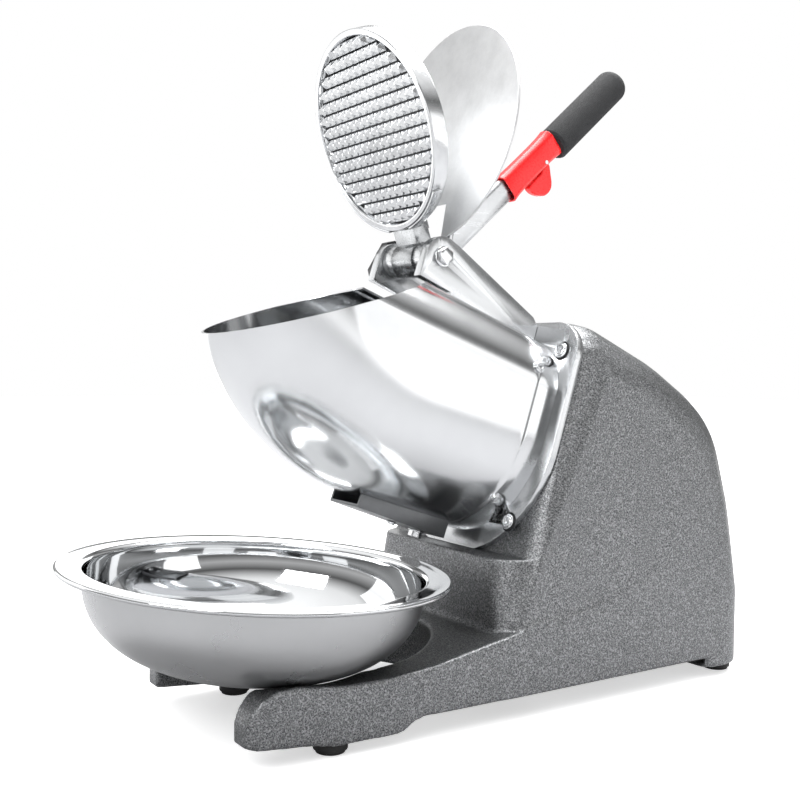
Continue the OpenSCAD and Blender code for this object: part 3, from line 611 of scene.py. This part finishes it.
def build_hopper():
    """Drum and front curve as one sheet, cut along the mouth and given its wall inwards."""
    bm = bmesh.new()
    rows = []
    for theta, u in hopper_stations():
        half = hopper_half_row(theta, u)
        full = half + [(-x, rho) for x, rho in reversed(half[:-1])]
        rows.append([bm.verts.new(hopper_point(x, rho, theta, u)) for x, rho in full])
    bridge(bm, rows, False)
    across = [SLOT_HALF * (1 - i / 20) for i in range(41)]
    roof_rows = []
    for theta, u in hopper_stations():
        if u < SLOT_END - 1e-9:
            continue
        points = [hopper_point(x, roof_rho(x, theta, u), theta, u) for x in across]
        roof_rows.append([bm.verts.new(point) for point in points])
    bridge(bm, roof_rows, False)
    bmesh.ops.remove_doubles(bm, verts=bm.verts, dist=1e-6)
    raise_hopper_details(bm)
    bmesh.ops.transform(bm, matrix=DRUM, verts=bm.verts)
    mouth = about_hinge(MOUTH_ANGLE)
    everything = bm.verts[:] + bm.edges[:] + bm.faces[:]
    bmesh.ops.bisect_plane(
        bm, geom=everything, plane_co=mouth @ Vector((0, 0, MOUTH_DROP)),
        plane_no=mouth.to_3x3() @ Vector((0, 0, -1)), clear_outer=True,
    )
    cut_outlet(bm)
    piece = add_piece("hopper_shell", bm, finish["hopper_steel"], "machine", ["hopper"])
    wall = piece.modifiers.new("wall", "SOLIDIFY")
    wall.thickness = HOPPER_WALL
    wall.offset = -1
    wall.use_even_offset = True
    return bevel(piece, 0.0004, 2, 60)


def ease(value):
    """Smooth step from 0 to 1."""
    value = min(1.0, max(0.0, value))
    return value * value * (3 - 2 * value)


def raise_hopper_details(bm):
    """A pressed bead beside the slot's edge and the step where the sheet laps over the ring."""
    bm.normal_update()
    sample = max(bm.faces, key=lambda face: face.calc_center_median().y)
    outward = -1.0 if sample.normal.y < 0 else 1.0
    edge = math.asin((SLOT_HALF - FLAT_HALF) / DRUM_CORNER)
    moves = []
    for vert in bm.verts:
        x, s, u = vert.co
        lift = 0.0
        if abs(x) > SLOT_HALF - 0.001 and s < DRUM_TOP + DRUM_CORNER:
            turn = math.asin(min(1.0, max(0.0, (abs(x) - FLAT_HALF) / DRUM_CORNER)))
            distance = DRUM_CORNER * (turn - edge)
            band = ease(distance / 0.0016) * ease((BAND_WIDTH - distance) / 0.0022)
            lift = BEAD_RISE * band * ease((u + 0.052) / 0.010)
        lift = max(lift, LAP_RISE * ease((u - LAP_U) / LAP_EASE))
        if lift:
            moves.append((vert, vert.normal * lift * outward))
    for vert, step in moves:
        vert.co += step


def cut_outlet(bm):
    """Opens the slot in the bottom that drops ice on the tray."""
    back = DRUM.inverted()
    lines = [
        (Vector((OUTLET_HALF, 0, 0)), Vector((1, 0, 0))),
        (Vector((-OUTLET_HALF, 0, 0)), Vector((1, 0, 0))),
        (Vector((0, 0, OUTLET_U[0])), Vector((0, 0, 1))),
        (Vector((0, 0, OUTLET_U[1])), Vector((0, 0, 1))),
    ]
    for point, normal in lines:
        geometry = bm.verts[:] + bm.edges[:] + bm.faces[:]
        bmesh.ops.bisect_plane(
            bm, geom=geometry, plane_co=DRUM @ point, plane_no=DRUM.to_3x3() @ normal,
        )
    gone = []
    for face in bm.faces:
        x, s, u = back @ face.calc_center_median()
        if abs(x) < OUTLET_HALF and OUTLET_U[0] < u < OUTLET_U[1] and s > DRUM_CENTRE:
            gone.append(face)
    bmesh.ops.delete(bm, geom=gone, context="FACES")


# ---- Bowl -----------------------------------------------------------------------------------

def bowl_side(grow, count):
    """(radius, height) points from the foot's middle up to the lip."""
    points = []
    for i in range(count + 1):
        turn = math.radians(90 * (1 - i / count))
        radius = (BOWL_WELL + grow) * max(0.0, math.cos(turn)) ** BOWL_POWER
        height = -(BOWL_DEPTH + grow) * math.sin(turn) ** BOWL_POWER
        points.append((radius if i else 0.0, height))
    return points


def build_bowl():
    """Inside and outside are two faces of one sheet with a wide lip and a rolled edge."""
    lip = BOWL_R - 0.0017
    fillet = 0.0035
    inner = [p for p in bowl_side(-BOWL_WALL, 60) if p[1] < -fillet * 0.9]
    well = BOWL_WELL - BOWL_WALL
    turn_in = arc((well + fillet - 0.0002, -fillet), fillet, 176, 90, 8)
    roll = arc((lip, -0.0012), 0.0017, 110, -150, 16)
    under = arc((well + fillet + BOWL_WALL, -fillet - BOWL_WALL), fillet, 90, 176, 6)
    outer = [p for p in reversed(bowl_side(0.0, 60)) if p[1] < -fillet * 1.2 - BOWL_WALL]
    profile = inner + turn_in + [(lip - 0.006, 0.0001)] + roll + under + outer
    bm = revolve(profile, 192)
    piece = add_piece("bowl_sheet", bm, finish["bowl_steel"], "bowl", ["ice_bowl"], BOWL)
    piece.data.materials.append(bowl_inside)
    inward = BOWL.inverted()
    for polygon in piece.data.polygons:
        centre = inward @ polygon.center
        normal = inward.to_3x3() @ polygon.normal
        if normal.z > 0.02 or centre.z > LIP_TURN:
            polygon.material_index = 1
    return piece


# ---- Pusher ---------------------------------------------------------------------------------

def tooth_block(limit):
    """Low pyramids with blunt tips in straight rows, a hair apart, cut short at the rim."""
    bm = bmesh.new()
    reach = int(PUSHER_R / TOOTH_PITCH) + 1
    foot = TOOTH_PITCH / 2 - TOOTH_GAP
    levels = [(foot, PUSHER_FACE - 0.0012), (foot, PUSHER_FACE), (TOOTH_TIP, PUSHER_FACE + TOOTH_H)]
    signs = ((-1, -1), (1, -1), (1, 1), (-1, 1))
    for i in range(-reach, reach + 1):
        for j in range(-reach, reach + 1):
            if math.hypot(i, j) * TOOTH_PITCH > limit + foot * 0.2:
                continue
            rows = []
            for half, z in levels:
                row = []
                for a, b in signs:
                    place = Vector((i * TOOTH_PITCH + a * half, j * TOOTH_PITCH + b * half))
                    if place.length > limit:
                        place *= limit / place.length
                    row.append(bm.verts.new((place.x, place.y, z)))
                rows.append(row)
            bridge(bm, rows, True)
            bm.faces.new(rows[0])
            bm.faces.new(rows[-1])
    return bm


def build_pusher():
    """Cast plate with a smooth raised rim round the field of teeth, its face between the teeth
    painted near-black as shade.
    """
    edge = 0.0009
    inner = PUSHER_R - RIM_W
    top = PUSHER_FACE + RIM_H
    profile = [(0.0, PUSHER_BACK), (PUSHER_R - edge, PUSHER_BACK)]
    profile += arc((PUSHER_R - edge, PUSHER_BACK + edge), edge, -90, 0, 4)[1:]
    profile += arc((PUSHER_R - edge, top - edge), edge, 0, 90, 4)
    profile += arc((inner + edge, top - edge), edge, 90, 180, 4)
    profile += [(inner, PUSHER_FACE - 0.001), (0.0, PUSHER_FACE - 0.001)]
    bm = revolve(profile, 160)
    place = PUSHER @ Matrix.Translation((0, PUSHER_REACH, 0))
    slot = "pusher_aluminium"
    plate = add_piece("pusher_rim", bm, finish[slot], "lever", ["pusher_plate"], place)
    # Painted shade: the plate's face under the teeth, seen in the gaps between them, gets the
    # near-black material.
    plate.data.materials.append(painted_shade_metal)
    back = place.inverted()
    for polygon in plate.data.polygons:
        centre = back @ polygon.center
        if centre.xy.length < inner * 0.9 and centre.z > 0:
            polygon.material_index = 1
    block = tooth_block(inner)
    teeth = add_piece("pusher_teeth", block, finish[slot], "lever", (), place, False)
    bevel(teeth, 0.0002, 1, 25)
    return plate


# ---- Handle ---------------------------------------------------------------------------------

def rounded_ring(width, height, radius, drop, steps=8):
    """A closed rounded rectangle, x across and z along its height."""
    points = []
    for k, (sx, sz) in enumerate(((1, 1), (-1, 1), (-1, -1), (1, -1))):
        centre = (sx * (width / 2 - radius), drop + sz * (height / 2 - radius))
        points += arc(centre, radius, 90 * k, 90 * (k + 1), steps)
    return points


def build_sleeve():
    """Red sleeve: flared mouths, a slightly drawn-in waist and a groove that the tab swings into."""
    length = SLEEVE_TO - SLEEVE_FROM
    stations = 40
    bm = bmesh.new()
    rows = []
    for i in range(stations + 1):
        t = i / stations
        y = SLEEVE_FROM + length * t
        lower = math.exp(-t / 0.14)
        upper = math.exp(-(1 - t) / 0.10)
        height = 0.0202 + 0.0024 * lower + 0.0026 * upper
        width = 0.0132 + 0.0012 * lower + 0.0022 * upper
        soft = 0.0046 + 0.0016 * upper
        middle = -BAR_DROP - 0.0003 * lower
        row = []
        for x, z in rounded_ring(width, height, soft, middle):
            if TAB_SLOT[0] < y < TAB_SLOT[1] and z < middle and abs(x) < TAB_SLOT_HALF:
                z += TAB_SLOT_DEPTH
            row.append(bm.verts.new((x, y, z)))
        rows.append(row)
    for mouth, depth in ((rows[0], MOUTH_DEPTH), (rows[-1], -MOUTH_DEPTH)):
        inner = []
        for v in mouth:
            z = (v.co.z + BAR_DROP) * MOUTH_SHRINK - BAR_DROP
            inner.append(bm.verts.new((v.co.x * MOUTH_SHRINK, v.co.y, z)))
        bridge(bm, [mouth, inner], True)
        deeper = [bm.verts.new((v.co.x, v.co.y + depth, v.co.z)) for v in inner]
        bridge(bm, [inner, deeper], True)
    bridge(bm, rows, True)
    slot = "red_plastic"
    piece = add_piece("sleeve", bm, finish[slot], "lever", ["handle_sleeve"], LEVER)
    return bevel(piece, 0.0005, 3, 40)


def build_trigger():
    """Rounded finger tab under the sleeve."""
    outline = [
        (0.0034, -0.001), (0.0042, -0.0052), (0.0026, -0.0084), (0.0002, -0.0125),
        (-0.0022, -0.0165), (-0.0056, -0.0197), (-0.0104, -0.0210), (-0.0150, -0.0202),
        (-0.0192, -0.0172), (-0.0226, -0.0132), (-0.0244, -0.0092), (-0.0236, -0.0058),
        (-0.0150, -0.0050), (-0.0066, -0.0046), (-0.0036, -0.001), (-0.0014, 0.0032),
        (0.0016, 0.0032),
    ]
    bm = extrude_outline(smooth_outline(outline, 6), -0.0031, 0.0031)
    turn = Matrix((  # outline x runs along the lever, outline y away from it, thickness across
        (0, 0, 1, 0), (1, 0, 0, 0), (0, 1, 0, 0), (0, 0, 0, 1),
    ))
    place = LEVER @ Matrix.Translation((0, TRIGGER_Y, TRIGGER_Z)) @ turn
    slot = "red_plastic"
    piece = add_piece("trigger_tab", bm, finish[slot], "trigger", ["trigger"], place)
    return bevel(piece, 0.0018, 5, 40)


def build_grip():
    """Foam tube with a rounded blind end."""
    length = LEVER_LENGTH - SLEEVE_TO
    soft = 0.0078
    profile = [(0.0, 0.0), (GRIP_R - 0.0022, 0.0)]
    profile += arc((GRIP_R - 0.0022, 0.0012), 0.0012, -90, -30, 4)[1:]
    profile += arc((GRIP_R - 0.0010, 0.0026), 0.0010, -40, 0, 3)
    profile += [(GRIP_R, length * k / 12) for k in range(1, 11)]
    profile += arc((GRIP_R - soft, length - soft), soft, 0, 81, 9)
    profile += [(0.0, length)]
    bm = revolve(profile, 72)
    upright = Matrix.Rotation(math.radians(-90), 4, "X")
    place = LEVER @ Matrix.Translation((0, SLEEVE_TO, -BAR_DROP - GRIP_RAISE)) @ upright
    return add_piece("grip", bm, finish["grip_foam"], "lever", ["foam_grip"], place)


# ---- Other pieces ---------------------------------------------------------------------------

EDGED = {
    "front_plate": 0.0009, "outlet_tray": 0.0004, "hinge_cheek_left": 0.0016,
    "hinge_cheek_right": 0.0016, "pusher_hub": 0.0007, "pusher_clip": 0.0003, "lever_bar": 0.0004,
    "lid_plate": 0.0006, "lid_hinge": 0.0006, "nut_cap": 0.0006, "rubber_feet": 0.0008,
    "hopper_screws": 0.0004, "plate_screws": 0.0004, "tray_fasteners": 0.0003,
    "hinge_shaft": 0.0004, "shaft_nut": 0.0004, "cheek_screws": 0.0003, "power_switch": 0.0006,
    "switch_rocker": 0.0007, "cord_gland": 0.0005, "bottom_cover": 0.0003,
    "bottom_cover_screws": 0.0003, "foot_screws": 0.0003, "drum_ring": 0.0004,
    "cutter_disc": 0.0005, "cutter_blades": 0.0001, "pusher_screws": 0.0004,
}


def build_screw_shade_rings():
    """Painted shade: thin near-black rings round the four screws of the front plate, where their
    counterbores lie in shade.
    """
    places = [
        DRUM @ Matrix.Translation((side * x, s, PLATE_U)) @ Matrix.Rotation(math.pi, 4, "X")
        for side in (-1, 1) for x, s in ((0.068, 0.036), (0.059, 0.163))
    ]
    profile = [(0.0054, 0), (0.0054, 0.0003), (0.0067, 0.0003), (0.0071, 0), (0.0054, 0)]
    for number, place in enumerate(places):
        ring = revolve(profile, 48)
        add_piece(f"screw_ring_{number}", ring, painted_shade_metal, "machine", (), place)


build_body()
build_hopper()
build_bowl()
build_pusher()
build_sleeve()
build_trigger()
build_grip()
for edged_node, edge_width in EDGED.items():
    softened(edged_node, edge_width, finish[slots[edged_node]])
build_screw_shade_rings()


# ---- Studio ---------------------------------------------------------------------------------

LENS = 48.47
CAMERA_ANGLES = (56.36, 2.03, 0.72)  # round the object, up, and roll
CAMERA_TARGET = Vector((0, -0.0216, 0.21509))
CAMERA_DISTANCE = 0.77379

LIGHTS = [  # name, place, target, size, watts
    ("key", (0.55, -1.35, 1.10), (0, 0, 0.2), (1.0, 0.7), 14),
    ("top", (-0.1, 0.45, 1.5), (0, 0, 0.2), (1.4, 1.2), 42),
    ("right", (1.35, 0.95, 0.42), (0, 0, 0.24), (1.2, 0.62), 3.0),
    ("left", (-1.25, -0.85, 0.60), (0, 0, 0.28), (1.2, 1.0), 4.6),
    ("rear", (-1.45, 0.80, 0.30), (0, 0, 0.12), (1.3, 0.5), 3.0),
]


def plain_material(name, colour, roughness):
    material = bpy.data.materials.new(name)
    material.use_nodes = True
    shader = material.node_tree.nodes["Principled BSDF"]
    shader.inputs["Base Color"].default_value = (*colour, 1)
    shader.inputs["Roughness"].default_value = roughness
    return material


def add_plane(name, size, height, material):
    bm = bmesh.new()
    bmesh.ops.create_grid(bm, x_segments=1, y_segments=1, size=size)
    bmesh.ops.translate(bm, verts=bm.verts, vec=(0, 0, height))
    mesh = bpy.data.meshes.new(name)
    bm.to_mesh(mesh)
    bm.free()
    mesh.materials.append(material)
    plane = bpy.data.objects.new(name, mesh)
    bpy.context.scene.collection.objects.link(plane)
    return plane


def add_floor():
    """A pale, evenly lit floor that meets the white background without a line."""
    paint = plain_material("floor_paint", (0.9, 0.9, 0.9), 0.7)
    shader = paint.node_tree.nodes["Principled BSDF"]
    shader.inputs["Emission Color"].default_value = (1, 1, 1, 1)
    shader.inputs["Emission Strength"].default_value = 0.55
    add_plane("floor", 6, 0, paint)
    shade_paint = plain_material("floor_shade", (0.50, 0.50, 0.51), 0.8)
    shade = add_plane("floor_in_reflections", 1.6, 0.0004, shade_paint)
    shade.visible_camera = False
    shade.visible_diffuse = False
    shade.visible_shadow = False
    shade.visible_transmission = False


def add_light(name, place, target, size, power):
    data = bpy.data.lights.new(name, "AREA")
    data.shape = "RECTANGLE"
    data.size, data.size_y = size
    data.energy = power
    light = bpy.data.objects.new(name, data)
    bpy.context.scene.collection.objects.link(light)
    light.location = place
    light.rotation_mode = "QUATERNION"
    light.rotation_quaternion = (Vector(target) - Vector(place)).to_track_quat("-Z", "Y")
    light.visible_camera = False


def add_world():
    """White behind the object; a studio that is bright above and dark round the walls."""
    world = bpy.data.worlds.new("studio")
    bpy.context.scene.world = world
    world.use_nodes = True
    tree = world.node_tree
    output = tree.nodes["World Output"]
    seen = tree.nodes["Background"]
    seen.inputs["Color"].default_value = (1, 1, 1, 1)
    seen.inputs["Strength"].default_value = 1.0
    room = tree.nodes.new("ShaderNodeBackground")
    source = tree.nodes.new("ShaderNodeTexCoord")
    split = tree.nodes.new("ShaderNodeSeparateXYZ")
    ramp = tree.nodes.new("ShaderNodeValToRGB")
    stops = [  # (height, brightness); the horizon is at 0.5
        (0.0, 0.35), (0.46, 0.35), (0.53, 0.16), (0.60, 0.55), (0.70, 0.12), (0.83, 1.1), (1.0, 1.4),
    ]
    while len(ramp.color_ramp.elements) < len(stops):
        ramp.color_ramp.elements.new(0.5)
    for element, (place, shade) in zip(ramp.color_ramp.elements, stops):
        element.position = place
        element.color = (shade, shade, shade, 1)
    rescale = tree.nodes.new("ShaderNodeMapRange")
    rescale.inputs["From Min"].default_value = -1
    tree.links.new(source.outputs["Generated"], split.inputs["Vector"])
    tree.links.new(split.outputs["Z"], rescale.inputs["Value"])
    tree.links.new(rescale.outputs["Result"], ramp.inputs["Fac"])
    tree.links.new(ramp.outputs["Color"], room.inputs["Color"])
    room.inputs["Strength"].default_value = 1.0
    path = tree.nodes.new("ShaderNodeLightPath")
    choose = tree.nodes.new("ShaderNodeMixShader")
    tree.links.new(path.outputs["Is Camera Ray"], choose.inputs["Fac"])
    tree.links.new(room.outputs["Background"], choose.inputs[1])
    tree.links.new(seen.outputs["Background"], choose.inputs[2])
    tree.links.new(choose.outputs["Shader"], output.inputs["Surface"])
    bpy.context.scene.view_settings.view_transform = "Standard"


def add_camera():
    """The photograph's camera, as fitted to its ellipses and straight edges."""
    data = bpy.data.cameras.new("camera")
    data.sensor_width = 36
    data.lens = LENS
    camera = bpy.data.objects.new("camera", data)
    bpy.context.scene.collection.objects.link(camera)
    azimuth, pitch, roll = (math.radians(angle) for angle in CAMERA_ANGLES)
    level_back = Vector((math.sin(azimuth), -math.cos(azimuth), 0))
    back = level_back * math.cos(pitch) + Vector((0, 0, math.sin(pitch)))
    camera.location = CAMERA_TARGET + back * CAMERA_DISTANCE
    camera.rotation_mode = "QUATERNION"
    level = (-back).to_track_quat("-Z", "Y")
    camera.rotation_quaternion = level @ Matrix.Rotation(roll, 3, "Z").to_quaternion()
    bpy.context.scene.camera = camera


add_floor()
add_world()
for light_settings in LIGHTS:
    add_light(*light_settings)
add_camera()
